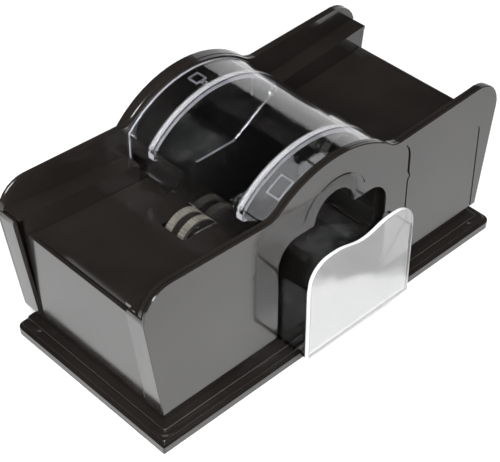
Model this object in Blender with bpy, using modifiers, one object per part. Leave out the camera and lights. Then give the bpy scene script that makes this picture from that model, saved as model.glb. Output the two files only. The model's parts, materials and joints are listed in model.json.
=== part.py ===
"""Automatic card shuffler: two end trays feed a clear-covered middle bin, emptied by a drawer.

X runs from tray to tray, the drawer pulls out towards -Y, and Z is up from the table.
Every length below is in millimetres and is turned into metres when a mesh is made.
"""

import math

import bmesh
import bpy
from mathutils import Matrix, Vector

MM = 0.001
GAP = 0.3

# The frame's y = 0 is the middle of the overall depth, drawer included.
FRAME_Y = 9.2

# Base, on four rubber feet.
BASE_X = 140.0
BASE_FRONT = -71.0
BASE_BACK = 62.5
BASE_UNDER = 0.8
BASE_TIERS = (5.4, 7.2, 9.4)
SKIRT_TOP = 22.0

# Front and back panels.
PANEL_Y = 62.3
PANEL_THICK = 2.3
PANEL_BOTTOM = 18.7
PANEL_FOOT_X = 132.0
PANEL_TIP = (144.6, 113.2)
PANEL_CORNER_R = 19.0
RIM_Z0 = 107.1
RIM_SLOPE = 0.042
HUMP_R = 70.0
HUMP_Z = 57.9
HUMP_FILLET = 16.0
SEAM = 0.3
INNER_SKIN_Y = 57.3

# Inner walls: close to the cards along each tray, wider and lower around the bin.
WALL_Y = 45.5
BIN_WALL_Y = 50.0
WALL_THICK = 2.4
WALL_FOOT = 22.5
TRAY_X = 53.0
LEDGE_Z0 = 84.2
LEDGE_SLOPE = 0.102
LEDGE_THICK = 2.2
BIN_LEDGE = (80.9, 82.5)
END_FOOT_X = 130.8
END_TOP = (135.1, 84.6)
END_THICK = 2.4

# Front opening, shaped like a club.
OPEN_X = 44.2
OPEN_SHOULDER = 87.0
OPEN_SHOULDER_R = 15.0
OPEN_LOBE_R = 16.0
RECESS = 0.8
CHANNEL = 0.7
CHANNEL_TOP = 104.0
GROOVE_R = 25.5
FIELD_X = (30.0, 127.5)
FIELD_TOP = (77.2, 85.4)
FIELD_DEPTH = 0.45

# Tray floors.
FLOOR = ((-132.1, 84.3), (-129.0, 83.4), (-125.0, 82.8), (-119.0, 82.4), (-34.0, 76.3))
FLOOR_THICK = 2.2

# Feed rollers and gears.
ROLLER_X = 57.8
ROLLER_Y = -3.5
ROLLER_Z = 68.4
TYRE_R = 15.2
HUB_R = 12.2
COLLAR_R = 13.9
FLANGE_R = 14.4
TYRE_W = 4.6
TYRE_RIBS = 80
TYRE_Y = 5.05
SLOT_X = (43.2, 71.4)
SLOT_HALF_Y = 10.2
SHAFT_R = 2.0
BUSH_R = 4.0
MODULE = 0.8
BIG_TEETH = 30
SMALL_TEETH = 12
GEAR_DISTANCE = 0.5 * MODULE * (BIG_TEETH + SMALL_TEETH) + 0.15
IDLER_ANGLE = 205.0
MOTOR_ANGLE = 235.0
MOTOR_R = 12.0
MOTOR_BACK = 17.4

# Clear cover.
COVER_X = 50.5
COVER_R = 68.5
COVER_THICK = 2.0
COVER_Y = 56.9
RIB_Y = 37.0

# Drawer.
DRAWER_X = 42.4
DRAWER_FRONT = -84.9
DRAWER_BACK = 27.5
DRAWER_BOTTOM = 15.9
DRAWER_SIDE_TOP = 43.5
DRAWER_THICK = 2.0

# Cells and their wells.
CELL_R = 13.0
CELL_LONG = 49.0
CELL_Z = 20.6
CELL_X = 94.0
WELL_Y = -16.7
CELL_Y = (WELL_Y - 13.2, WELL_Y + 13.2)

for item in list(bpy.data.objects):
    bpy.data.objects.remove(item, do_unlink=True)

PARTS = bpy.data.collections.new("card_shuffler")
CUTTERS = bpy.data.collections.new("cutters")
bpy.context.scene.collection.children.link(PARTS)
bpy.context.scene.collection.children.link(CUTTERS)


def material(name, colour, rough, metal=0.0, alpha=1.0):
    found = bpy.data.materials.get(name)
    if found:
        return found
    made = bpy.data.materials.new(name)
    made.use_nodes = True
    shader = made.node_tree.nodes["Principled BSDF"]
    shader.inputs["Base Color"].default_value = (*colour, 1.0)
    shader.inputs["Roughness"].default_value = rough
    shader.inputs["Metallic"].default_value = metal
    shader.inputs["Alpha"].default_value = alpha
    made.diffuse_color = (*colour, alpha)
    return made


BLACK = material("black_gloss_plastic", (0.02, 0.019, 0.018), 0.18)
CLEAR = material("clear_plastic", (0.9, 0.92, 0.94), 0.08, alpha=0.35)
GREY = material("grey_rubber", (0.42, 0.40, 0.36), 0.8)
FOOT = material("black_rubber", (0.03, 0.03, 0.03), 0.9)
GEAR = material("white_acetal", (0.82, 0.81, 0.76), 0.45)
STEEL = material("steel", (0.62, 0.62, 0.64), 0.3, 1.0)
BRASS = material("brass", (0.78, 0.57, 0.25), 0.35, 1.0)
CELL = material("cell_jacket", (0.10, 0.22, 0.12), 0.35)


def place(axis, u, v, w):
    if axis == "X":
        return Vector((w, u + FRAME_Y, v)) * MM
    if axis == "Y":
        return Vector((u, w + FRAME_Y, v)) * MM
    return Vector((u, v + FRAME_Y, w)) * MM


def finish(name, shape, paint):
    """Object from a bmesh. A shape with no paint is a cutter or a helper."""
    bmesh.ops.recalc_face_normals(shape, faces=shape.faces)
    mesh = bpy.data.meshes.new(name)
    shape.to_mesh(mesh)
    shape.free()
    made = bpy.data.objects.new(name, mesh)
    if paint:
        made.data.materials.append(paint)
        PARTS.objects.link(made)
    else:
        made.hide_render = True
        made.display_type = "WIRE"
        CUTTERS.objects.link(made)
    return made


def prism(name, outline, axis, low, high, paint=None):
    """Solid between two flat copies of an outline."""
    shape = bmesh.new()
    corners = [shape.verts.new(place(axis, u, v, low)) for u, v in outline]
    cap = shape.faces.new(corners)
    grown = bmesh.ops.extrude_face_region(shape, geom=[cap])
    moved = [item for item in grown["geom"] if isinstance(item, bmesh.types.BMVert)]
    along = place(axis, 0.0, 0.0, high) - place(axis, 0.0, 0.0, low)
    bmesh.ops.translate(shape, verts=moved, vec=along)
    return finish(name, shape, paint)


def box(name, low, high, paint=None):
    shape = bmesh.new()
    bmesh.ops.create_cube(shape, size=MM)
    size = Vector(high) - Vector(low)
    middle = 0.5 * (Vector(high) + Vector(low)) + Vector((0.0, FRAME_Y, 0.0))
    bmesh.ops.scale(shape, vec=size, verts=shape.verts)
    bmesh.ops.translate(shape, vec=middle * MM, verts=shape.verts)
    return finish(name, shape, paint)


def rod(name, u, v, radius, axis, low, high, paint=None, count=24):
    """Round bar along an axis, smooth round its side."""
    shape = bmesh.new()
    size = (high - low) * MM
    ring = radius * MM
    bmesh.ops.create_cone(shape, cap_ends=True, segments=count, radius1=ring, radius2=ring, depth=size)
    for face in shape.faces:
        face.smooth = len(face.verts) == 4
    if axis == "X":
        turn = Matrix.Rotation(math.radians(90.0), 3, "Y")
    elif axis == "Y":
        turn = Matrix.Rotation(math.radians(90.0), 3, "X")
    else:
        turn = Matrix.Identity(3)
    bmesh.ops.rotate(shape, verts=shape.verts, matrix=turn)
    bmesh.ops.translate(shape, verts=shape.verts, vec=place(axis, u, v, 0.5 * (low + high)))
    return finish(name, shape, paint)


def rounded(corners, count=6):
    """Polygon whose corners, each (u, v, radius), are turned into arcs."""
    points = []
    for index, (u, v, radius) in enumerate(corners):
        if radius <= 0.0:
            points.append((u, v))
            continue
        here = Vector((u, v))
        back = Vector(corners[index - 1][:2]) - here
        ahead = Vector(corners[(index + 1) % len(corners)][:2]) - here
        back.normalize()
        ahead.normalize()
        half = 0.5 * back.angle(ahead)
        start = here + back * radius / math.tan(half)
        end = here + ahead * radius / math.tan(half)
        centre = here + (back + ahead).normalized() * radius / math.sin(half)
        first = start - centre
        sweep = first.angle_signed(end - centre)
        for step in range(count + 1):
            turn = -sweep * step / count
            x = first.x * math.cos(turn) - first.y * math.sin(turn)
            y = first.x * math.sin(turn) + first.y * math.cos(turn)
            points.append((centre.x + x, centre.y + y))
    return points


def cut(target, cutter):
    step = target.modifiers.new("cut", "BOOLEAN")
    step.operation = "DIFFERENCE"
    step.solver = "EXACT"
    step.object = cutter


def join(target, other):
    """Fuses a second shape into the first; the second is kept as a helper only."""
    step = target.modifiers.new("join", "BOOLEAN")
    step.operation = "UNION"
    step.solver = "EXACT"
    step.object = other


def soften(target, width, segments=2):
    step = target.modifiers.new("edges", "BEVEL")
    step.width = width * MM
    step.segments = segments
    step.limit_method = "ANGLE"
    step.angle_limit = math.radians(50.0)


def pivot(target, x, y, z):
    """Moves the object's origin onto its joint without moving the shape."""
    spot = Vector((x, y + FRAME_Y, z)) * MM
    for vertex in target.data.vertices:
        vertex.co -= spot
    target.location = spot


def mirrored(points):
    return [(-u, v) for u, v in reversed(points)]


def panel_outline():
    """Wings, corner arcs and the shallow hump between them, seen from the front."""
    slope = math.sqrt(1.0 + RIM_SLOPE**2)
    lift = RIM_Z0 + HUMP_FILLET * slope - HUMP_Z
    reach = HUMP_R + HUMP_FILLET
    qa = 1.0 + RIM_SLOPE**2
    qb = 2.0 * RIM_SLOPE * lift
    qc = lift**2 - reach**2
    fx = (-qb + math.sqrt(qb**2 - 4.0 * qa * qc)) / (2.0 * qa)
    fz = lift + RIM_SLOPE * fx
    top_turn = math.atan2(fz, fx)
    low_turn = math.atan2(-1.0, RIM_SLOPE)
    hump = []
    for step in range(15):
        turn = math.radians(90.0) + (top_turn - math.radians(90.0)) * step / 14.0
        hump.append((HUMP_R * math.cos(turn), HUMP_Z + HUMP_R * math.sin(turn)))
    fillet = []
    first = top_turn + math.pi
    last = low_turn + 2.0 * math.pi
    for step in range(1, 7):
        turn = first + (last - first) * step / 6.0
        fillet.append((fx + HUMP_FILLET * math.cos(turn), HUMP_Z + fz + HUMP_FILLET * math.sin(turn)))
    anchor = fillet[-1]
    wing = rounded(
        [
            (anchor[0], anchor[1], 0.0),
            (PANEL_TIP[0], PANEL_TIP[1], PANEL_CORNER_R),
            (PANEL_FOOT_X, PANEL_BOTTOM, 0.0),
        ],
        8,
    )[1:]
    right = hump + fillet + wing
    left = mirrored(right)
    return right + left[:-1]


def inset(points, depth):
    """The same outline drawn in by an even amount."""
    moved = []
    area = sum(
        points[index - 1][0] * point[1] - point[0] * points[index - 1][1]
        for index, point in enumerate(points)
    )
    sign = 1.0 if area > 0.0 else -1.0
    for index, point in enumerate(points):
        here = Vector(point)
        back = (here - Vector(points[index - 1])).normalized()
        ahead = (Vector(points[(index + 1) % len(points)]) - here).normalized()
        along = (back + ahead).normalized()
        across = Vector((-along.y, along.x)) * sign
        spread = max(across.dot(Vector((-ahead.y, ahead.x)) * sign), 0.3)
        moved.append(tuple(here + across * depth / spread))
    return moved


def ledge_line(x):
    return LEDGE_Z0 + LEDGE_SLOPE * abs(x)


def across(side, first, last):
    """The two distances on one side of the middle, lowest first."""
    return sorted((side * first, side * last))


def opening_outline():
    """Square-footed arch with a round lobe rising from its middle."""
    right = [(OPEN_X, 0.0)]
    bend_x = OPEN_X - OPEN_SHOULDER_R
    bend_z = OPEN_SHOULDER - OPEN_SHOULDER_R
    turns = [0.5 * math.pi * step / 8.0 for step in range(9)]
    for turn in turns:
        right.append((bend_x + OPEN_SHOULDER_R * math.cos(turn), bend_z + OPEN_SHOULDER_R * math.sin(turn)))
    for turn in turns:
        right.append((OPEN_LOBE_R * math.cos(turn), OPEN_SHOULDER + OPEN_LOBE_R * math.sin(turn)))
    left = mirrored(right)
    return right + left[1:]


OUTLINE = panel_outline()
OPENING = prism("opening_cutter", opening_outline(), "Y", -70.0, -45.0)


# Base: stepped tray, hollow underneath, with a skirt that the body drops over.
base = prism(
    "base_plate",
    rounded(
        [
            (-BASE_X, BASE_FRONT, 1.0),
            (BASE_X, BASE_FRONT, 6.0),
            (BASE_X, BASE_BACK, 5.0),
            (-BASE_X, BASE_BACK, 5.0),
        ]
    ),
    "Z",
    BASE_UNDER,
    BASE_TIERS[0],
    BLACK,
)
middle_tier = prism(
    "base_middle_tier",
    rounded([(-137.6, -68.4, 1.5), (137.6, -68.4, 4.0), (137.6, 61.2, 3.0), (-137.6, 61.2, 3.0)]),
    "Z",
    3.0,
    BASE_TIERS[1],
)
top_tier = prism(
    "base_top_tier",
    rounded([(-133.2, -64.0, 2.0), (133.2, -64.0, 2.0), (133.2, 60.6, 2.0), (-133.2, 60.6, 2.0)]),
    "Z",
    4.0,
    BASE_TIERS[2],
)
skirt = box("base_skirt", (-127.5, -58.4, 8.0), (127.5, 58.4, SKIRT_TOP))
soften(top_tier, 0.7)
soften(middle_tier, 0.4, 1)
for helper in (middle_tier, top_tier, skirt):
    join(base, helper)
cut(base, box("skirt_inside", (-126.0, -56.9, BASE_TIERS[2]), (126.0, 56.9, 30.0)))
cut(base, box("skirt_gate", (-46.4, -62.0, BASE_TIERS[2]), (46.4, -54.0, 30.0)))
cut(base, box("under_low", (-137.6, -68.4, -1.0), (137.6, 60.1, 3.2)))
cut(base, box("under_high", (-130.8, -61.6, 2.0), (130.8, 58.2, 7.0)))
FOOT_SPOTS = [(-130.0, -60.5), (130.0, -60.5), (-130.0, 52.5), (130.0, 52.5)]
SCREW_SPOTS = [(-112.0, -53.7), (112.0, -53.7), (-112.0, 53.7), (112.0, 53.7)]
for index, (x, y) in enumerate(FOOT_SPOTS):
    join(base, rod(f"foot_boss_{index}", x, y, 6.8, "Z", 1.4, 8.0))
    foot = rod(f"foot_{index + 1}", x, y, 5.8, "Z", 0.0, 1.3, FOOT)
    soften(foot, 0.3, 1)
for index, (x, y) in enumerate(SCREW_SPOTS):
    join(base, rod(f"screw_boss_{index}", x, y, 5.0, "Z", 3.6, 8.0))
    cut(base, rod(f"screw_hole_{index}", x, y, 1.7, "Z", 0.0, 12.0, count=16))
    cut(base, rod(f"screw_sink_{index}", x, y, 3.4, "Z", 0.0, 6.0))
for side, tag in ((-1, "left"), (1, "right")):
    low, high = across(side, 66.0, 122.0)
    cut(base, box(f"well_{tag}", (low, WELL_Y - 27.4, 0.0), (high, WELL_Y + 27.4, 12.0)))


# Chassis: both inner walls with their ledges and skins, and the bin's side walls.
def body_side(side):
    """One long side. Side is -1 for the front and +1 for the back."""
    word = "front" if side < 0 else "back"
    outer = PANEL_Y - PANEL_THICK - SEAM
    tray_low, tray_high = across(side, WALL_Y, WALL_Y + WALL_THICK)
    bin_low, bin_high = across(side, BIN_WALL_Y, BIN_WALL_Y + WALL_THICK)
    shelf_low, shelf_high = across(side, WALL_Y, outer)
    rest_low, rest_high = across(side, BIN_WALL_Y, outer)
    skin_low, skin_high = across(side, INNER_SKIN_Y, outer)
    end_low, end_high = across(side, WALL_Y, BIN_WALL_Y + WALL_THICK)
    step_z = ledge_line(TRAY_X)
    far = 139.2
    wall_x = TRAY_X + 2.0
    rest_x = TRAY_X + 1.0
    pieces = [
        box(f"{word}_bin_wall", (-wall_x, bin_low, WALL_FOOT), (wall_x, bin_high, BIN_LEDGE[1])),
        box(f"{word}_bin_ledge", (-rest_x, rest_low, BIN_LEDGE[0]), (rest_x, rest_high, BIN_LEDGE[1])),
    ]
    for end, tag in ((-1, "left"), (1, "right")):
        wall = [
            (TRAY_X, WALL_FOOT),
            (END_FOOT_X - 0.4, WALL_FOOT),
            END_TOP,
            (END_TOP[0] + 0.7, ledge_line(END_TOP[0])),
            (TRAY_X, step_z),
        ]
        shelf = [
            (TRAY_X, step_z),
            (TRAY_X, step_z - LEDGE_THICK),
            (far, ledge_line(far) - LEDGE_THICK),
            (far, ledge_line(far)),
        ]
        if end < 0:
            wall = mirrored(wall)
            shelf = mirrored(shelf)
        near, beyond = across(end, TRAY_X, TRAY_X + 2.4)
        pieces.append(prism(f"{word}_{tag}_wall", wall, "Y", tray_low, tray_high))
        pieces.append(prism(f"{word}_{tag}_ledge", shelf, "Y", shelf_low, shelf_high))
        pieces.append(box(f"{word}_{tag}_jamb", (near, end_low, WALL_FOOT), (beyond, end_high, step_z)))
        pieces.append(box(f"{word}_{tag}_step", (near, rest_low, 81.4), (beyond, rest_high, step_z)))
    plate = prism(f"{word}_skin", inset(OUTLINE, 0.15), "Y", skin_low, skin_high)
    reach = 150.0
    under = 1.1
    below = prism(
        f"{word}_below",
        [
            (reach, ledge_line(reach) - under),
            (TRAY_X + 0.6, step_z - under),
            (TRAY_X + 0.6, BIN_LEDGE[1] - under),
            (-TRAY_X - 0.6, BIN_LEDGE[1] - under),
            (-TRAY_X - 0.6, step_z - under),
            (-reach, ledge_line(reach) - under),
            (-reach, 0.0),
            (reach, 0.0),
        ],
        "Y",
        skin_low - 4.0,
        skin_high + 4.0,
    )
    cut(plate, below)
    return pieces + [plate]


side_x = (46.5, 48.7)
side_y = BIN_WALL_Y + 0.6
chassis = box("chassis", (-side_x[1], -side_y, WALL_FOOT), (-side_x[0], side_y, 40.0), BLACK)
join(chassis, box("bin_side", (side_x[0], -side_y, WALL_FOOT), (side_x[1], side_y, 40.0)))
for piece in body_side(-1) + body_side(1):
    join(chassis, piece)
cut(chassis, OPENING)
mouth_top = OPEN_SHOULDER - 4.6
cut(chassis, box("bin_mouth", (-46.3, -61.0, 0.0), (46.3, -BIN_WALL_Y + 1.5, mouth_top)))
for index, (x, y) in enumerate(SCREW_SPOTS):
    low, high = across(math.copysign(1.0, y), WALL_Y + 1.5, 52.0)
    join(chassis, box(f"boss_rib_{index}", (x - 1.2, low, WALL_FOOT + 0.1), (x + 1.2, high, 30.0)))
    join(chassis, rod(f"chassis_boss_{index}", x, y, 3.1, "Z", 9.8, 30.0, count=20))
    cut(chassis, rod(f"chassis_pilot_{index}", x, y, 1.7, "Z", 0.0, 26.0, count=16))


def shell_panel(name, side):
    """Outer skin with returned ends that close the hollow behind each wing."""
    inner = PANEL_Y - PANEL_THICK
    low, high = across(side, PANEL_Y, inner)
    panel = prism(name, OUTLINE, "Y", low, high, BLACK)
    soften(panel, 0.5, 1)
    strip_low, strip_high = across(side, WALL_Y + WALL_THICK + GAP, inner + 0.4)
    lean = (PANEL_TIP[0] - PANEL_FOOT_X) / (PANEL_TIP[1] - PANEL_BOTTOM)
    top = ledge_line(141.0) - LEDGE_THICK - 0.4
    edge = PANEL_FOOT_X + lean * (top - PANEL_BOTTOM)
    right = [
        (PANEL_FOOT_X - 0.02, PANEL_BOTTOM),
        (edge - 0.6, top - 3.0),
        (edge - 1.3, top),
        (edge - 2.8, top),
        (PANEL_FOOT_X - 2.4, PANEL_BOTTOM),
    ]
    for tag, outline in (("right", right), ("left", mirrored(right))):
        join(panel, prism(f"{name}_{tag}_return", outline, "Y", strip_low, strip_high))
    return panel


front = shell_panel("front_panel", -1)
cut(front, OPENING)
half_pad = rounded(
    [
        (0.0, 10.0, 0.0),
        (OPEN_X + 1.0, 10.0, 0.0),
        (OPEN_X + 1.0, 25.0, 0.0),
        (62.0, 44.0, 3.0),
        (62.0, 75.4, 0.0),
        (63.8, 78.6, 0.0),
        (62.0, 81.6, 0.0),
        (62.0, 106.5, 14.0),
        (40.0, 109.0, 6.0),
        (0.0, 109.0, 0.0),
    ]
)
pad_outline = half_pad[:-1] + mirrored(half_pad)[1:]
cut(front, prism("opening_pad", pad_outline, "Y", -PANEL_Y - 1.0, -PANEL_Y + RECESS))

# A fine channel along both sides of the pad.
channel = prism("pad_channel", inset(pad_outline, -CHANNEL), "Y", -PANEL_Y - 1.0, -PANEL_Y + RECESS + 0.6)
cut(channel, prism("pad_core", pad_outline, "Y", -PANEL_Y - 2.0, -PANEL_Y + 4.0))
cut(channel, box("channel_end", (-90.0, -PANEL_Y - 2.0, CHANNEL_TOP), (90.0, -50.0, 130.0)))
cut(front, channel)

# A shallow field in each wing, whose upper edge is a fold line.
field = rounded(
    [
        (FIELD_X[0], 10.0, 0.0),
        (FIELD_X[1], 10.0, 0.0),
        (FIELD_X[1], FIELD_TOP[1], 6.0),
        (FIELD_X[0], FIELD_TOP[0], 0.0),
    ]
)
for tag, outline in (("right", field), ("left", mirrored(field))):
    pocket = prism(f"{tag}_field", outline, "Y", -PANEL_Y - 1.0, -PANEL_Y + FIELD_DEPTH)
    cut(front, pocket)

# A fine groove that follows the lobe.
groove_turns = [math.radians(turn) for turn in range(20, 165, 6)]
groove = [
    (radius * math.cos(turn), OPEN_SHOULDER + radius * math.sin(turn))
    for radius, turns in ((GROOVE_R + 0.5, groove_turns), (GROOVE_R - 0.5, groove_turns[::-1]))
    for turn in turns
]
cut(front, prism("lobe_groove", groove, "Y", -PANEL_Y - 1.0, -PANEL_Y + RECESS + 0.4))

back = shell_panel("back_panel", 1)
band_turns = [math.radians(turn) for turn in range(36, 145, 4)]
band = prism(
    "back_band",
    [(HUMP_R * math.cos(turn), HUMP_Z + HUMP_R * math.sin(turn)) for turn in band_turns]
    + [
        ((HUMP_R - 3.0) * math.cos(turn), HUMP_Z + (HUMP_R - 3.0) * math.sin(turn))
        for turn in reversed(band_turns)
    ],
    "Y",
    PANEL_Y - 1.0,
    PANEL_Y + 4.2,
)
join(back, band)
cut(back, rod("button_hole", 0.0, 66.0, 7.0, "Y", 55.0, 70.0, count=32))


# Ends and tray floors.
for side, tag in ((-1, "left"), (1, "right")):
    wall = [
        (END_FOOT_X, PANEL_BOTTOM),
        (END_TOP[0], END_TOP[1]),
        (END_TOP[0] - END_THICK, END_TOP[1]),
        (END_FOOT_X - END_THICK, PANEL_BOTTOM),
    ]
    outline = wall if side > 0 else mirrored(wall)
    end = prism(f"{tag}_end_wall", outline, "Y", -WALL_Y + GAP, WALL_Y - GAP, BLACK)
    soften(end, 0.5)
    under = [(x, z - FLOOR_THICK) for x, z in FLOOR]
    under[0] = (FLOOR[0][0], FLOOR[0][1] - 3.4)
    slab = list(FLOOR) + under[::-1]
    outline = slab if side < 0 else mirrored(slab)
    floor = prism(f"{tag}_tray_floor", outline, "Y", -WALL_Y + GAP, WALL_Y - GAP, BLACK)
    low, high = across(side, *SLOT_X)
    front_edge = ROLLER_Y - SLOT_HALF_Y
    back_edge = ROLLER_Y + SLOT_HALF_Y
    cut(floor, box(f"{tag}_tyre_slot", (low, front_edge, 50.0), (high, back_edge, 90.0)))


def gear_outline(x, z, teeth, phase, shrink=0.62):
    """Straight-flanked teeth; phase is the direction of one tooth's centre line."""
    pitch = 0.5 * MODULE * teeth
    tip = pitch + 0.9 * MODULE
    root = pitch - 1.15 * MODULE
    tooth = math.pi / teeth
    points = []
    for index in range(teeth):
        turn = phase + 2.0 * tooth * index
        for radius, offset in (
            (root, -tooth * shrink * 0.95),
            (tip, -tooth * shrink * 0.40),
            (tip, tooth * shrink * 0.40),
            (root, tooth * shrink * 0.95),
        ):
            points.append((x + radius * math.cos(turn + offset), z + radius * math.sin(turn + offset)))
    return points


# One drive per tray: motor, two-stage gears, shaft, hub and two ribbed tyres.
for side, tag in ((-1, "left"), (1, "right")):
    rx = side * ROLLER_X
    lean = math.radians(IDLER_ANGLE)
    ix = rx + side * -GEAR_DISTANCE * math.cos(lean)
    iz = ROLLER_Z + GEAR_DISTANCE * math.sin(lean)
    tilt = math.radians(MOTOR_ANGLE)
    mx = ix + side * -GEAR_DISTANCE * math.cos(tilt)
    mz = iz + GEAR_DISTANCE * math.sin(tilt)
    to_idler = math.atan2(iz - ROLLER_Z, ix - rx)
    to_motor = math.atan2(mz - iz, mx - ix)

    shaft = rod(f"{tag}_roller_shaft", rx, ROLLER_Z, SHAFT_R, "Y", -50.1, 58.6, STEEL, count=20)
    pivot(shaft, rx, 0.0, ROLLER_Z)
    half = TYRE_Y + 0.5 * TYRE_W
    low = ROLLER_Y - half - 0.2
    high = ROLLER_Y + half + 0.2
    hub = rod(f"{tag}_roller_hub", rx, ROLLER_Z, HUB_R, "Y", low, high, BLACK, count=32)
    gap_half = TYRE_Y - 0.5 * TYRE_W - 0.15
    collar_low = ROLLER_Y - gap_half
    collar_high = ROLLER_Y + gap_half
    join(hub, rod(f"{tag}_collar", rx, ROLLER_Z, COLLAR_R, "Y", collar_low, collar_high, count=32))
    for word, edge in (("front", low - 0.5), ("back", high + 0.5)):
        flange_low = edge - 0.55
        flange_high = edge + 0.55
        flange = rod(f"{tag}_{word}_flange", rx, ROLLER_Z, FLANGE_R, "Y", flange_low, flange_high, count=32)
        join(hub, flange)
    cut(hub, rod(f"{tag}_hub_bore", rx, ROLLER_Z, SHAFT_R + 0.1, "Y", -20.0, 20.0, count=20))
    pivot(hub, rx, 0.0, ROLLER_Z)
    for word, y in (("front", ROLLER_Y - TYRE_Y), ("back", ROLLER_Y + TYRE_Y)):
        ribs = []
        for step in range(TYRE_RIBS):
            turn = 2.0 * math.pi * step / TYRE_RIBS
            radius = TYRE_R if step % 2 else TYRE_R - 0.5
            ribs.append((rx + radius * math.cos(turn), ROLLER_Z + radius * math.sin(turn)))
        tyre = prism(f"{tag}_tyre_{word}", ribs, "Y", y - 0.5 * TYRE_W, y + 0.5 * TYRE_W, GREY)
        bore_low = y - TYRE_W
        bore_high = y + TYRE_W
        bore = rod(f"{tag}_tyre_bore_{word}", rx, ROLLER_Z, HUB_R + 0.1, "Y", bore_low, bore_high, count=32)
        cut(tyre, bore)
        pivot(tyre, rx, y, ROLLER_Z)
    for word, end in (("front", -1.0), ("back", 1.0)):
        low, high = across(end, WALL_Y - 0.1, WALL_Y + 3.3)
        bush = rod(f"{tag}_bush_{word}", rx, ROLLER_Z, BUSH_R, "Y", low, high, BRASS)
        low -= 1.0
        high += 1.0
        cut(bush, rod(f"{tag}_bush_bore_{word}", rx, ROLLER_Z, SHAFT_R + 0.12, "Y", low, high, count=20))
        cut(chassis, rod(f"{tag}_bush_seat_{word}", rx, ROLLER_Z, BUSH_R + 0.1, "Y", low, high))

    drum = prism(
        f"{tag}_roller_gear",
        gear_outline(rx, ROLLER_Z, BIG_TEETH, to_idler),
        "Y",
        53.7,
        56.0,
        GEAR,
    )
    cut(drum, rod(f"{tag}_roller_gear_bore", rx, ROLLER_Z, SHAFT_R + 0.1, "Y", 50.0, 60.0, count=20))
    pivot(drum, rx, 54.8, ROLLER_Z)

    idler = prism(
        f"{tag}_idler_gear",
        gear_outline(ix, iz, BIG_TEETH, to_motor),
        "Y",
        56.3,
        58.4,
        GEAR,
    )
    small_phase = to_idler + math.pi + math.pi / SMALL_TEETH
    small = prism(
        f"{tag}_idler_pinion",
        gear_outline(ix, iz, SMALL_TEETH, small_phase),
        "Y",
        53.7,
        57.0,
    )
    join(idler, small)
    cut(idler, rod(f"{tag}_idler_bore", ix, iz, 1.7, "Y", 50.0, 60.0, count=20))
    pivot(idler, ix, 56.0, iz)
    pin = rod(f"{tag}_idler_pin", ix, iz, 1.5, "Y", WALL_Y + 0.1, 59.3, STEEL, count=16)
    cut(chassis, rod(f"{tag}_pin_seat", ix, iz, 1.6, "Y", 40.0, 56.0, count=16))

    pinion = prism(
        f"{tag}_motor_pinion",
        gear_outline(mx, mz, SMALL_TEETH, to_motor + math.pi + math.pi / SMALL_TEETH),
        "Y",
        56.3,
        58.4,
        BRASS,
    )
    cut(pinion, rod(f"{tag}_pinion_bore", mx, mz, 1.1, "Y", 50.0, 60.0, count=12))
    pivot(pinion, mx, 57.3, mz)
    motor = rod(f"{tag}_motor", mx, mz, MOTOR_R, "Y", MOTOR_BACK, WALL_Y - GAP, STEEL, count=32)
    soften(motor, 0.8, 1)
    join(motor, rod(f"{tag}_motor_boss", mx, mz, 3.4, "Y", 40.0, WALL_Y + 1.6, count=20))
    tail = MOTOR_BACK - 1.4
    join(motor, rod(f"{tag}_motor_tail", mx, mz, 3.0, "Y", tail, 30.0, count=20))
    cut(motor, rod(f"{tag}_motor_bore", mx, mz, 1.3, "Y", MOTOR_BACK + 8.0, 60.0, count=12))
    cut(chassis, rod(f"{tag}_motor_seat", mx, mz, 3.7, "Y", 40.0, 56.0, count=20))
    spindle = rod(f"{tag}_motor_spindle", mx, mz, 1.0, "Y", MOTOR_BACK + 9.0, 59.2, STEEL, count=12)
    pivot(spindle, mx, 0.0, mz)


# Clear cover: arched sheet with skirts and two hanging ribs.
def cover_arc(radius, half):
    side_turn = math.acos(half / radius)
    return [
        (
            radius * math.cos(side_turn + (math.pi - 2.0 * side_turn) * step / 24.0),
            HUMP_Z + radius * math.sin(side_turn + (math.pi - 2.0 * side_turn) * step / 24.0),
        )
        for step in range(25)
    ]


inner_x = COVER_X - COVER_THICK
inner_r = COVER_R - COVER_THICK
skirt_foot = BIN_LEDGE[1] + GAP
outer_arc = cover_arc(COVER_R, COVER_X)
inner_arc = cover_arc(inner_r, inner_x)
cover = prism(
    "clear_cover",
    [(COVER_X, skirt_foot)] + outer_arc + [(-COVER_X, skirt_foot), (-inner_x, skirt_foot)]
    + inner_arc[::-1]
    + [(inner_x, skirt_foot)],
    "Y",
    -COVER_Y,
    COVER_Y,
    CLEAR,
)
rib_edge = cover_arc(inner_r + 0.3, inner_x + 0.3)
rib_inner = cover_arc(inner_r - 2.4, inner_x - 2.4)
for side, tag in ((-1, "front"), (1, "back")):
    web = prism(
        f"{tag}_rib_web",
        rib_edge + [(-inner_x - 0.3, 95.7), (-15.0, 75.2), (15.0, 75.2), (inner_x + 0.3, 95.7)],
        "Y",
        side * RIB_Y - 0.7,
        side * RIB_Y + 0.7,
    )
    rim = prism(
        f"{tag}_rib_rim",
        rib_edge
        + [(-inner_x - 0.3, 95.7), (-inner_x + 2.4, 94.4)]
        + rib_inner[::-1]
        + [(inner_x - 2.4, 94.4), (inner_x + 0.3, 95.7)],
        "Y",
        side * RIB_Y - 2.0,
        side * RIB_Y + 2.0,
    )
    join(cover, web)
    join(cover, rim)


# Drawer: clear tray whose tall front plate has a dip for the fingers.
def plate_outline():
    dip = []
    for step in range(13):
        x = 22.0 - 22.0 * step / 12.0
        dip.append((x, 85.8 - 4.1 * 0.5 * (1.0 + math.cos(math.pi * x / 22.0))))
    shoulder = rounded([(0.0, 85.8, 0.0), (DRAWER_X, 85.8, 15.5), (DRAWER_X, DRAWER_BOTTOM, 0.0)], 8)
    right = dip[::-1] + shoulder[1:-1] + [(DRAWER_X, DRAWER_BOTTOM)]
    left = mirrored(right)
    return right + left[:-1]


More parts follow.
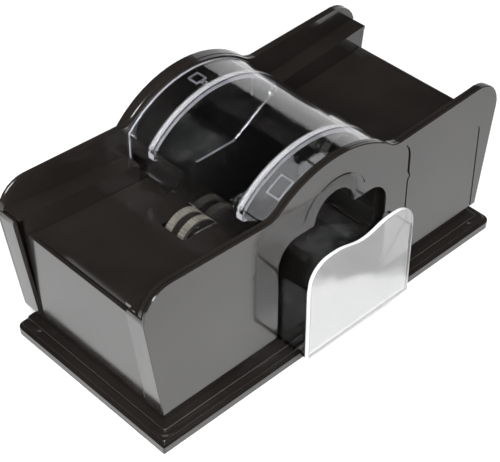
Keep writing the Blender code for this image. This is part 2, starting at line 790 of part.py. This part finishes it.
drawer = box(
    "card_drawer",
    (-DRAWER_X, DRAWER_FRONT + 0.5, DRAWER_BOTTOM),
    (DRAWER_X, DRAWER_BACK, DRAWER_SIDE_TOP),
    CLEAR,
)
drawer_inside = box(
    "drawer_inside",
    (-DRAWER_X + DRAWER_THICK, DRAWER_FRONT - 5.0, DRAWER_BOTTOM + DRAWER_THICK),
    (DRAWER_X - DRAWER_THICK, DRAWER_BACK - DRAWER_THICK, 80.0),
)
cheeks = prism(
    "drawer_cheeks",
    [
        (DRAWER_FRONT + 0.5, DRAWER_BOTTOM + 8.0),
        (-40.0, DRAWER_BOTTOM + 8.0),
        (-40.0, DRAWER_SIDE_TOP - 1.0),
        (-50.0, DRAWER_SIDE_TOP + 2.0),
        (-60.0, 60.0),
        (-66.0, 66.5),
        (DRAWER_FRONT + 0.5, 68.0),
    ],
    "X",
    -DRAWER_X,
    DRAWER_X,
)
join(drawer, cheeks)
cut(drawer, drawer_inside)
plate = prism("drawer_plate", plate_outline(), "Y", DRAWER_FRONT, DRAWER_FRONT + 2.4)
soften(plate, 0.5)
join(drawer, plate)


# Battery wells: holders, cells, contacts and hinged doors, one set under each tray.
for side, tag in ((-1, "left"), (1, "right")):
    cx = side * CELL_X
    holder_low = Vector((cx - 30.6, WELL_Y - 28.2, 9.8))
    holder_high = Vector((cx + 30.6, WELL_Y + 28.2, 36.6))
    wall = Vector((1.6, 1.6, 0.0))
    holder = box(f"{tag}_cell_holder", holder_low, holder_high, BLACK)
    inside_low = holder_low + wall - Vector((0.0, 0.0, 9.8))
    inside_high = holder_high - wall - Vector((0.0, 0.0, 1.6))
    cut(holder, box(f"{tag}_holder_inside", inside_low, inside_high))
    low, high = across(side, 62.0, 125.5)
    door = box(f"{tag}_battery_door", (low, WELL_Y - 28.4, 3.6), (high, WELL_Y + 30.2, 6.7), BLACK)
    soften(door, 0.6, 1)
    pivot(door, side * 63.0, 0.0, 4.4)
    half = 0.5 * CELL_LONG
    for index, y in enumerate(CELL_Y):
        word = f"{tag}_cell_{index + 1}"
        cell = rod(word, y, CELL_Z, CELL_R, "X", cx - half, cx + half, CELL, count=28)
        soften(cell, 0.6, 1)
        flip = side * (1.0 if index == 0 else -1.0)
        low, high = sorted((cx + flip * 20.0, cx + flip * (half + 1.5)))
        join(cell, rod(f"{word}_nub", y, CELL_Z, 3.3, "X", low, high, count=20))
    for word, end in (("link", 1.0), ("terminal", -1.0)):
        face = cx + side * end * 28.7
        back_x = face - side * end * 0.6
        low, high = sorted((face, back_x))
        link_low = (low, WELL_Y - 23.0, CELL_Z - 6.0)
        link_high = (high, WELL_Y + 23.0, CELL_Z + 6.0)
        link = box(f"{tag}_contact_{word}", link_low, link_high, STEEL)
        for index, y in enumerate(CELL_Y):
            positive = (index == 0) == (end > 0.0)
            tip = cx + side * end * (half + (1.5 if positive else 0.0) + 0.2)
            low, high = sorted((tip, back_x + side * end * 0.3))
            join(link, rod(f"{tag}_{word}_post_{index}", y, CELL_Z, 4.0, "X", low, high, count=16))
        if word == "terminal":
            notch_low = (min(face, back_x) - 3.0, WELL_Y - 0.6, CELL_Z - 8.0)
            notch_high = (max(face, back_x) + 3.0, WELL_Y + 0.6, CELL_Z + 2.0)
            cut(link, box(f"{tag}_terminal_notch", notch_low, notch_high))


# Power button in the back panel and its switch.
button = rod("power_button", 0.0, 66.0, 6.7, "Y", 57.4, 64.4, BLACK, count=32)
soften(button, 0.5, 1)
join(button, rod("button_flange", 0.0, 66.0, 8.4, "Y", 57.2, 58.6, count=32))
pivot(button, 0.0, 60.0, 66.0)
switch = box("power_switch", (-6.0, 52.7, 60.0), (6.0, 54.8, 72.0), BLACK)
soften(switch, 0.4, 1)

# Screws up through the base into the chassis.
for index, (x, y) in enumerate(SCREW_SPOTS):
    screw = rod(f"base_screw_{index + 1}", x, y, 2.9, "Z", 3.9, 5.7, STEEL, count=20)
    join(screw, rod(f"screw_shank_{index}", x, y, 1.4, "Z", 5.0, 24.0, count=12))
    slot = box(f"screw_slot_{index}", (x - 0.5, y - 2.2, 3.0), (x + 0.5, y + 2.2, 4.7))
    cut(screw, slot)

bpy.context.view_layer.update()
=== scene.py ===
"""Looks of the automatic card shuffler: studio, camera, gloss black and clear mouldings."""

import json
import math

import bmesh
import bpy
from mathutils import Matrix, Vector


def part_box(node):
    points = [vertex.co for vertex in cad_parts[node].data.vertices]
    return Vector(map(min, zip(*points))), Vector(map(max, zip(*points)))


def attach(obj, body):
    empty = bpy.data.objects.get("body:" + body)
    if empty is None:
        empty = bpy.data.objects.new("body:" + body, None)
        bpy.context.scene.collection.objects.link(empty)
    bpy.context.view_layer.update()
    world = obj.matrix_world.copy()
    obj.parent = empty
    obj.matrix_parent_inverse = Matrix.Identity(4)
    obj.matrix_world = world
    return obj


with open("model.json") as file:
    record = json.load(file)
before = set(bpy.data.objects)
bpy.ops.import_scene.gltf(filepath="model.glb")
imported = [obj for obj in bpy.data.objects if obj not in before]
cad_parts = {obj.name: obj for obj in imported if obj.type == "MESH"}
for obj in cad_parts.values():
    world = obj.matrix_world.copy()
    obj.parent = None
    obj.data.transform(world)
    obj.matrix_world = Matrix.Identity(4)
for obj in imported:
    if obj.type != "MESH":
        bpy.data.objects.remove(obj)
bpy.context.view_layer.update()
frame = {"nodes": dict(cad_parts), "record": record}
NODES = frame["nodes"]
SCENE = bpy.context.scene

# Camera, in metres and degrees. The lens and its sensor are in millimetres.
CAMERA_AZIMUTH = 43.72
CAMERA_ELEVATION = 40.91
CAMERA_DISTANCE = 0.8819
CAMERA_TARGET = (-0.0159, 0.0, 0.05)
CAMERA_RANGE = 20.0
CAMERA_LENS = 107.1
CAMERA_SENSOR = 36.0

# Studio: brightness of the walls and ceiling, the elevations in degrees between which one turns
# into the other, and how far the floor reaches in metres.
HORIZON_LIGHT = 1.5
CEILING_LIGHT = 0.34
CEILING_START = 22.0
CEILING_END = 27.0
FLOOR_REACH = 3.0
FLOOR_MIDDLE = (0.0, 0.0, 0.0)

# Noise between these two levels is spread over the whole range of a pattern.
NOISE_LOW = 0.3
NOISE_HIGH = 0.7

# Edges, in metres and degrees.
MAIN_SHELLS = ("front_panel", "back_panel", "base_plate")
WIDE_EDGE = 0.0005
FINE_EDGE = 0.0003
EDGE_SEGMENTS = 2
EDGE_ANGLE = 35.0
FLAT_ANGLE = 0.1
CRISP_ANGLE = 25.0
WELD_GAP = 1e-6

# Clear plastic where it is clear and where it is satin. A fade is the width in metres of the
# border between the two.
CLEAR_IOR = 1.49
CLEAR_ROUGHNESS = 0.03
SATIN_SHADE = (0.70, 0.69, 0.74)
SATIN_CLEARNESS = 0.45
SATIN_ROUGHNESS = 0.35
FADE = 0.0002
SHARP_FADE = 0.0001

# Cover, in metres: its ribs with their pale rims, the witness line that each rib leaves in the
# outer face, and the bands at its ends and feet. The facing is the upward part of the normal.
COVER_RADIUS = 0.0685
RIB_OFFSET = 0.037
RIB_WEB = 0.0008
RIB_RIM = 0.0023
RIM_REACH = (0.0636, 0.0664)
WITNESS_DEPTH = 0.0004
WITNESS_FADE = 0.0007
WITNESS_FOOT = 0.0957
WITNESS_RISE = 0.001
WITNESS_LEVEL = 0.42
END_BAND = 0.0004
FOOT_BAND = 0.0007
FACING_DOWN = -0.4
FACING_FADE = 0.1

# Clips inside the cover: the radius in metres that they hug, and the cells along each side.
CLIP_RADIUS = 0.0661
CLIP_STEPS = 12

# Front plate of the drawer, in metres: a painted reflection of the pale floor below a slanting line,
# painted as haze in the plastic, and pale edges. The facings are parts of the normal, and the
# levels are parts of the mask.
PLATE_THICK = 0.0025
# Painted reflection: below this slanting line the plate is painted paler and hazier, standing in for
# the pale floor that it reflects.
PAINTED_REFLECTION_TOP = 0.0537
PAINTED_REFLECTION_SLOPE = 0.59
PAINTED_REFLECTION_FADE = 0.004
PAINTED_REFLECTION_LEVELS = (0.29, 0.05)
EDGE_FACING = (0.6, 0.9)
EDGE_LEVEL = 0.8


# Studio


def aim(obj, target):
    direction = Vector(target) - obj.location
    obj.rotation_mode = "QUATERNION"
    obj.rotation_quaternion = direction.to_track_quat("-Z", "Y")


def make_camera():
    turn = math.radians(CAMERA_AZIMUTH)
    tilt = math.radians(CAMERA_ELEVATION)
    level = math.cos(tilt)
    ahead = Vector((math.sin(turn) * level, math.cos(turn) * level, -math.sin(tilt)))
    camera = bpy.data.objects.new("camera", bpy.data.cameras.new("camera"))
    camera.data.lens = CAMERA_LENS
    camera.data.sensor_width = CAMERA_SENSOR
    camera.data.clip_end = CAMERA_RANGE
    camera.location = Vector(CAMERA_TARGET) - ahead * CAMERA_DISTANCE
    aim(camera, CAMERA_TARGET)
    SCENE.collection.objects.link(camera)
    SCENE.camera = camera


def make_light(name, place, target, size, power):
    light = bpy.data.lights.new(name, "AREA")
    light.shape = "RECTANGLE"
    light.size, light.size_y = size
    light.energy = power
    obj = bpy.data.objects.new(name, light)
    obj.location = place
    aim(obj, target)
    SCENE.collection.objects.link(obj)


def make_world():
    """White walls all round, and a dim ceiling above them."""
    world = bpy.data.worlds.new("studio")
    world.use_nodes = True
    nodes = world.node_tree.nodes
    links = world.node_tree.links
    split = nodes.new("ShaderNodeSeparateXYZ")
    links.new(nodes.new("ShaderNodeTexCoord").outputs["Generated"], split.inputs["Vector"])
    wall = nodes.new("ShaderNodeMapRange")
    wall.inputs["From Min"].default_value = math.sin(math.radians(CEILING_START))
    wall.inputs["From Max"].default_value = math.sin(math.radians(CEILING_END))
    wall.inputs["To Min"].default_value = HORIZON_LIGHT
    wall.inputs["To Max"].default_value = CEILING_LIGHT
    links.new(split.outputs["Z"], wall.inputs["Value"])
    links.new(wall.outputs["Result"], nodes["Background"].inputs["Strength"])
    SCENE.world = world
    SCENE.view_settings.view_transform = "Standard"


def make_floor():
    mesh = bpy.data.meshes.new("floor")
    shape = bmesh.new()
    bmesh.ops.create_grid(shape, x_segments=1, y_segments=1, size=FLOOR_REACH)
    shape.to_mesh(mesh)
    shape.free()
    floor = bpy.data.objects.new("floor", mesh)
    paper = Paint("studio_paper")
    paper.shader.inputs["Roughness"].default_value = 0.9
    paper.shader.inputs["Specular IOR Level"].default_value = 0.1
    paper.mottle((0.93, 0.93, 0.93), (0.96, 0.96, 0.96), scale=3.0)
    mesh.materials.append(paper.made)
    SCENE.collection.objects.link(floor)


# Materials


class Paint:
    """A Principled material whose patterns come from procedural noise in object space."""

    def __init__(self, name):
        self.made = bpy.data.materials.new(name)
        self.made.use_nodes = True
        self.nodes = self.made.node_tree.nodes
        self.links = self.made.node_tree.links
        self.shader = self.nodes["Principled BSDF"]
        self.where = self.nodes.new("ShaderNodeTexCoord").outputs["Object"]
        self.height = None

    def noise(self, scale, detail=3.0, stretch=None):
        node = self.nodes.new("ShaderNodeTexNoise")
        node.inputs["Scale"].default_value = scale
        node.inputs["Detail"].default_value = detail
        source = self.where
        if stretch:
            mapping = self.nodes.new("ShaderNodeMapping")
            mapping.inputs["Scale"].default_value = stretch
            self.links.new(source, mapping.inputs["Vector"])
            source = mapping.outputs["Vector"]
        self.links.new(source, node.inputs["Vector"])
        return node.outputs["Fac"]

    def split(self, source):
        node = self.nodes.new("ShaderNodeSeparateXYZ")
        self.links.new(source, node.inputs["Vector"])
        return node.outputs["X"], node.outputs["Y"], node.outputs["Z"]

    def axes(self):
        return self.split(self.where)

    def facing(self):
        return self.split(self.nodes.new("ShaderNodeTexCoord").outputs["Normal"])

    def math(self, action, first, second=None):
        node = self.nodes.new("ShaderNodeMath")
        node.operation = action
        for socket, value in zip(node.inputs, (first, second)):
            if isinstance(value, (int, float)):
                socket.default_value = value
            elif value is not None:
                self.links.new(value, socket)
        return node.outputs["Value"]

    def join(self, action, first, *others):
        """The same action on one value after another."""
        for value in others:
            first = self.math(action, first, value)
        return first

    def distance(self, source, centre):
        return self.math("ABSOLUTE", self.math("SUBTRACT", source, centre))

    def ramp(self, source, low, high, first, last):
        node = self.nodes.new("ShaderNodeMapRange")
        node.inputs["From Min"].default_value = low
        node.inputs["From Max"].default_value = high
        node.inputs["To Min"].default_value = first
        node.inputs["To Max"].default_value = last
        self.links.new(source, node.inputs["Value"])
        return node.outputs["Result"]

    def above(self, source, edge, fade):
        """A mask that is 0 up to the edge and 1 from a fade beyond it."""
        return self.ramp(source, edge, edge + fade, 0.0, 1.0)

    def below(self, source, edge, fade):
        """A mask that is 1 up to the edge and 0 from a fade beyond it."""
        return self.ramp(source, edge, edge + fade, 1.0, 0.0)

    def drift(self, low, high, scale, detail=3.0, stretch=None):
        """Noise that wanders between two values."""
        return self.ramp(self.noise(scale, detail, stretch), NOISE_LOW, NOISE_HIGH, low, high)

    def blend(self, factor, first, last):
        """Base colour that goes from the first shade to the last with the factor."""
        mix = self.nodes.new("ShaderNodeMix")
        mix.data_type = "RGBA"
        mix.inputs["A"].default_value = (*first, 1.0)
        mix.inputs["B"].default_value = (*last, 1.0)
        self.links.new(factor, mix.inputs["Factor"])
        self.links.new(mix.outputs["Result"], self.shader.inputs["Base Color"])

    def mottle(self, first, last, scale, detail=3.0, stretch=None):
        """Colour that drifts between two close shades."""
        self.blend(self.drift(0.0, 1.0, scale, detail, stretch), first, last)

    def uneven(self, low, high, scale, stretch=None):
        """Roughness that varies as handling and moulding leave it."""
        spread = self.drift(low, high, scale, detail=4.0, stretch=stretch)
        self.links.new(spread, self.shader.inputs["Roughness"])

    def bump(self, source, depth, strength):
        """Relief, on top of any that is there already. The depth is in metres."""
        node = self.nodes.new("ShaderNodeBump")
        node.inputs["Distance"].default_value = depth
        node.inputs["Strength"].default_value = strength
        self.links.new(source, node.inputs["Height"])
        if self.height:
            self.links.new(self.height, node.inputs["Normal"])
        self.height = node.outputs["Normal"]
        self.links.new(self.height, self.shader.inputs["Normal"])


class ClearPaint(Paint):
    """Clear polystyrene, paler where a mask says so: satin on the cover and clips, and a painted
    reflection of the pale floor on the drawer's front plate.
    """

    def __init__(self, name, tint):
        super().__init__(name)
        self.tint = tint
        self.shader.inputs["IOR"].default_value = CLEAR_IOR
        self.bump(self.noise(scale=20.0, detail=1.0), depth=0.00006, strength=0.4)

    # Satin on the cover and clips; on the drawer's front plate this paints the reflection of the pale
    # floor.
    def satin_and_painted_reflection(self, mask, shade, clearness, rough):
        """Where the mask is 1, the plastic is paler and lets less through."""
        self.blend(mask, self.tint, shade)
        clear = self.ramp(mask, 0.0, 1.0, 1.0, clearness)
        self.links.new(clear, self.shader.inputs["Transmission Weight"])
        grain = self.drift(-0.01, 0.02, scale=40.0)
        level = self.ramp(mask, 0.0, 1.0, CLEAR_ROUGHNESS, rough)
        self.links.new(self.math("ADD", level, grain), self.shader.inputs["Roughness"])
        return self.made


def cover_plastic():
    """The cover's edges, rib rims, rib webs and witness lines are satin, the rest is clear."""
    low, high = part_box("clear_cover")
    paint = ClearPaint("clear_cover_plastic", tint=(0.95, 0.955, 0.97))
    x, y, z = paint.axes()
    across = paint.distance(y, 0.5 * (low[1] + high[1]))
    half = 0.5 * (high[1] - low[1])
    from_rib = paint.distance(across, RIB_OFFSET)
    rise = paint.math("SUBTRACT", z, high[2] - COVER_RADIUS)
    squares = paint.math("ADD", paint.math("POWER", x, 2.0), paint.math("POWER", rise, 2.0))
    reach = paint.math("SQRT", squares)
    ends = paint.above(across, half - END_BAND, SHARP_FADE)
    foot = paint.below(z, low[2] + FOOT_BAND, FADE)
    rim = paint.join(
        "MULTIPLY",
        paint.below(from_rib, RIB_RIM, FADE),
        paint.above(reach, RIM_REACH[0], FADE),
        paint.below(reach, RIM_REACH[1], SHARP_FADE),
    )
    witness = paint.join(
        "MULTIPLY",
        paint.ramp(from_rib, RIB_RIM - WITNESS_FADE, RIB_RIM, WITNESS_LEVEL, 0.0),
        paint.above(z, WITNESS_FOOT, WITNESS_RISE),
        paint.above(reach, COVER_RADIUS - WITNESS_DEPTH, FADE),
    )
    underside = paint.below(paint.facing()[2], FACING_DOWN, FACING_FADE)
    web = paint.math("MULTIPLY", paint.below(from_rib, RIB_WEB, FADE), underside)
    mask = paint.join("MAXIMUM", ends, foot, rim, witness, web)
    return paint.satin_and_painted_reflection(mask, SATIN_SHADE, SATIN_CLEARNESS, SATIN_ROUGHNESS)


def drawer_plastic():
    """Clear drawer: pale edges on its front plate, and a painted reflection of the pale floor, done as
    haze, over the plate's lower part.
    """
    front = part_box("card_drawer")[0][1]
    paint = ClearPaint("clear_drawer_plastic", tint=(0.95, 0.955, 0.96))
    x, y, z = paint.axes()
    plate = paint.below(y, front + PLATE_THICK, FADE)
    flank = paint.math("ABSOLUTE", paint.facing()[1])
    edge = paint.math("MULTIPLY", plate, paint.ramp(flank, *EDGE_FACING, EDGE_LEVEL, 0.0))
    slant = paint.math("ADD", z, paint.math("MULTIPLY", x, PAINTED_REFLECTION_SLOPE))
    wander = paint.drift(-PAINTED_REFLECTION_FADE, PAINTED_REFLECTION_FADE, scale=60.0, detail=2.0)
    line = paint.math("ADD", slant, wander)
    # Painted reflection: the lower plate is painted paler and hazier in place of the pale floor that it
    # reflects, with a little of it above the line.
    painted_reflection = paint.ramp(line, PAINTED_REFLECTION_TOP - PAINTED_REFLECTION_FADE, PAINTED_REFLECTION_TOP + PAINTED_REFLECTION_FADE, *PAINTED_REFLECTION_LEVELS)
    mask = paint.math("MAXIMUM", edge, paint.math("MULTIPLY", plate, painted_reflection))
    # The plate's pale edges and its painted reflection share this shade, clearness and roughness.
    return paint.satin_and_painted_reflection(mask, shade=(0.80, 0.80, 0.81), clearness=0.2, rough=0.3)


def clip_plastic():
    """Satin all over, in some places more than in others."""
    paint = ClearPaint("clip_plastic", tint=(0.9, 0.9, 0.93))
    mask = paint.drift(0.45, 0.7, scale=60.0)
    return paint.satin_and_painted_reflection(mask, SATIN_SHADE, SATIN_CLEARNESS, SATIN_ROUGHNESS)


def gloss_black():
    paint = Paint("gloss_black")
    paint.mottle((0.009, 0.0078, 0.007), (0.014, 0.012, 0.011), scale=18.0)
    paint.uneven(0.10, 0.17, scale=26.0)
    paint.bump(paint.noise(scale=16.0, detail=1.0), depth=0.00012, strength=0.5)
    paint.bump(paint.noise(scale=1400.0, detail=2.0), depth=0.000004, strength=0.5)
    return paint.made


def matte_black():
    paint = Paint("matte_black")
    paint.mottle((0.018, 0.017, 0.016), (0.03, 0.028, 0.027), scale=40.0)
    paint.uneven(0.45, 0.6, scale=60.0)
    paint.bump(paint.noise(scale=2200.0, detail=2.0), depth=0.00008, strength=0.6)
    return paint.made


def feed_rubber():
    paint = Paint("feed_rubber")
    paint.mottle((0.075, 0.069, 0.058), (0.12, 0.112, 0.096), scale=160.0)
    paint.uneven(0.7, 0.85, scale=90.0)
    paint.bump(paint.noise(scale=1500.0), depth=0.0001, strength=0.6)
    return paint.made


def foot_rubber():
    paint = Paint("foot_rubber")
    paint.mottle((0.02, 0.02, 0.02), (0.035, 0.034, 0.033), scale=120.0)
    paint.uneven(0.75, 0.9, scale=90.0)
    paint.bump(paint.noise(scale=1800.0), depth=0.0001, strength=0.6)
    return paint.made


def acetal():
    paint = Paint("acetal")
    paint.mottle((0.74, 0.73, 0.68), (0.82, 0.81, 0.77), scale=70.0)
    paint.uneven(0.38, 0.52, scale=80.0)
    paint.bump(paint.noise(scale=1200.0), depth=0.00005, strength=0.5)
    return paint.made


def cell_jacket():
    paint = Paint("cell_jacket")
    paint.mottle((0.06, 0.14, 0.08), (0.09, 0.19, 0.10), scale=60.0)
    paint.uneven(0.22, 0.34, scale=60.0)
    paint.bump(paint.noise(scale=500.0), depth=0.00005, strength=0.4)
    return paint.made


def turned_metal(name, first, last, stretch):
    """Bare metal whose tooling marks run along the axis that stretch makes smallest."""
    paint = Paint(name)
    paint.shader.inputs["Metallic"].default_value = 1.0
    paint.mottle(first, last, scale=220.0, stretch=stretch)
    paint.uneven(0.22, 0.38, scale=260.0, stretch=stretch)
    grain = paint.noise(scale=900.0, detail=2.0, stretch=stretch)
    paint.bump(grain, depth=0.00004, strength=0.4)
    return paint.made


# CAD nodes


def soften(obj, width):
    """Welds, clears flat edges, rounds the sharp ones and shades the rest smooth."""
    weld = obj.modifiers.new("weld", "WELD")
    weld.merge_threshold = WELD_GAP
    flat = obj.modifiers.new("flat", "DECIMATE")
    flat.decimate_type = "DISSOLVE"
    flat.angle_limit = math.radians(FLAT_ANGLE)
    bevel = obj.modifiers.new("edges", "BEVEL")
    bevel.width = width
    bevel.segments = EDGE_SEGMENTS
    bevel.limit_method = "ANGLE"
    bevel.angle_limit = math.radians(EDGE_ANGLE)
    bevel.use_clamp_overlap = True
    even = obj.modifiers.new("even", "WEIGHTED_NORMAL")
    even.weight = 100
    even.keep_sharp = True
    obj.data.shade_smooth()


def crisp(obj):
    """Keeps a clear moulding's true faces: smooth round the arc, sharp at its edges."""
    weld = obj.modifiers.new("weld", "WELD")
    weld.merge_threshold = WELD_GAP
    split = obj.modifiers.new("edges", "EDGE_SPLIT")
    split.split_angle = math.radians(CRISP_ANGLE)
    split.use_edge_sharp = False
    obj.data.shade_smooth()


def dress():
    """Gives every CAD node its finish, its edges and smooth shading."""
    finishes = {
        "black_gloss_plastic": gloss_black(),
        "black_matte_plastic": matte_black(),
        "steel": turned_metal("steel", (0.50, 0.50, 0.51), (0.66, 0.66, 0.67), (1.0, 0.1, 1.0)),
        "contact_steel": turned_metal(
            "nickel_strip", (0.60, 0.59, 0.57), (0.72, 0.71, 0.69), (0.2, 1.0, 1.0)
        ),
        "motor_can": turned_metal("motor_can", (0.46, 0.46, 0.47), (0.60, 0.60, 0.62), (1.0, 0.2, 1.0)),
        "brass": turned_metal("brass", (0.66, 0.46, 0.18), (0.80, 0.60, 0.28), (1.0, 0.3, 1.0)),
        "clear_plastic": cover_plastic(),
        "feed_rubber": feed_rubber(),
        "foot_rubber": foot_rubber(),
        "acetal": acetal(),
        "cell_jacket": cell_jacket(),
    }
    drawer = drawer_plastic()
    slots = {row["node"]: row["material_slot"] for row in frame["record"]["subparts"]}
    for name, node in NODES.items():
        node.data.materials.clear()
        node.data.materials.append(drawer if name == "card_drawer" else finishes[slots[name]])
        if name == "clear_cover":
            crisp(node)
        else:
            soften(node, WIDE_EDGE if name in MAIN_SHELLS else FINE_EDGE)


# Pieces that only the looks have


def arc_frame(name, across, along, bar, thick, paint):
    """A thin rectangular clip frame that hugs the inside of the cover's arc."""
    low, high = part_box("clear_cover")
    middle = 0.5 * (low[1] + high[1])
    axis = high[2] - COVER_RADIUS
    shape = bmesh.new()
    bmesh.ops.create_grid(shape, x_segments=CLIP_STEPS, y_segments=CLIP_STEPS, size=0.5)
    width = across[1] - across[0]
    depth = along[1] - along[0]
    for vert in shape.verts:
        x = across[0] + width * (vert.co.x + 0.5)
        y = middle + along[0] + depth * (vert.co.y + 0.5)
        vert.co = (x, y, axis + math.sqrt(CLIP_RADIUS**2 - x * x))
    hollow = []
    for face in shape.faces:
        x, y = face.calc_center_median().xy
        if across[0] + bar < x < across[1] - bar and along[0] + bar < y - middle < along[1] - bar:
            hollow.append(face)
    bmesh.ops.delete(shape, geom=hollow, context="FACES")
    mesh = bpy.data.meshes.new(name)
    shape.to_mesh(mesh)
    shape.free()
    piece = bpy.data.objects.new(name, mesh)
    SCENE.collection.objects.link(piece)
    mesh.materials.append(paint)
    mesh.shade_smooth()
    solid = piece.modifiers.new("thick", "SOLIDIFY")
    solid.thickness = thick
    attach(piece, "cover")


def make_clips():
    """Snap clips moulded inside both ends of the cover."""
    paint = clip_plastic()
    arc_frame(
        "front_clip",
        across=(-0.0375, -0.0255),
        along=(-0.0545, -0.0445),
        bar=0.0009,
        thick=0.0008,
        paint=paint,
    )
    arc_frame(
        "back_clip",
        across=(-0.0070, 0.0010),
        along=(0.0450, 0.0530),
        bar=0.0009,
        thick=0.0012,
        paint=paint,
    )
    arc_frame(
        "back_clip_tab",
        across=(-0.0045, -0.0015),
        along=(0.0410, 0.0450),
        bar=0.0006,
        thick=0.0012,
        paint=paint,
    )


make_world()
make_camera()
make_floor()
make_light("key_left", place=(-0.6, -0.6, 0.75), target=FLOOR_MIDDLE, size=(0.7, 0.7), power=25.0)
make_light("top_box", place=(0.0, -0.4, 2.6), target=FLOOR_MIDDLE, size=(2.6, 2.6), power=60.0)
make_light("back_box", place=(1.02, 0.80, 0.36), target=(0.0, 0.0, 0.12), size=(1.0, 0.72), power=2.2)
dress()
make_clips()
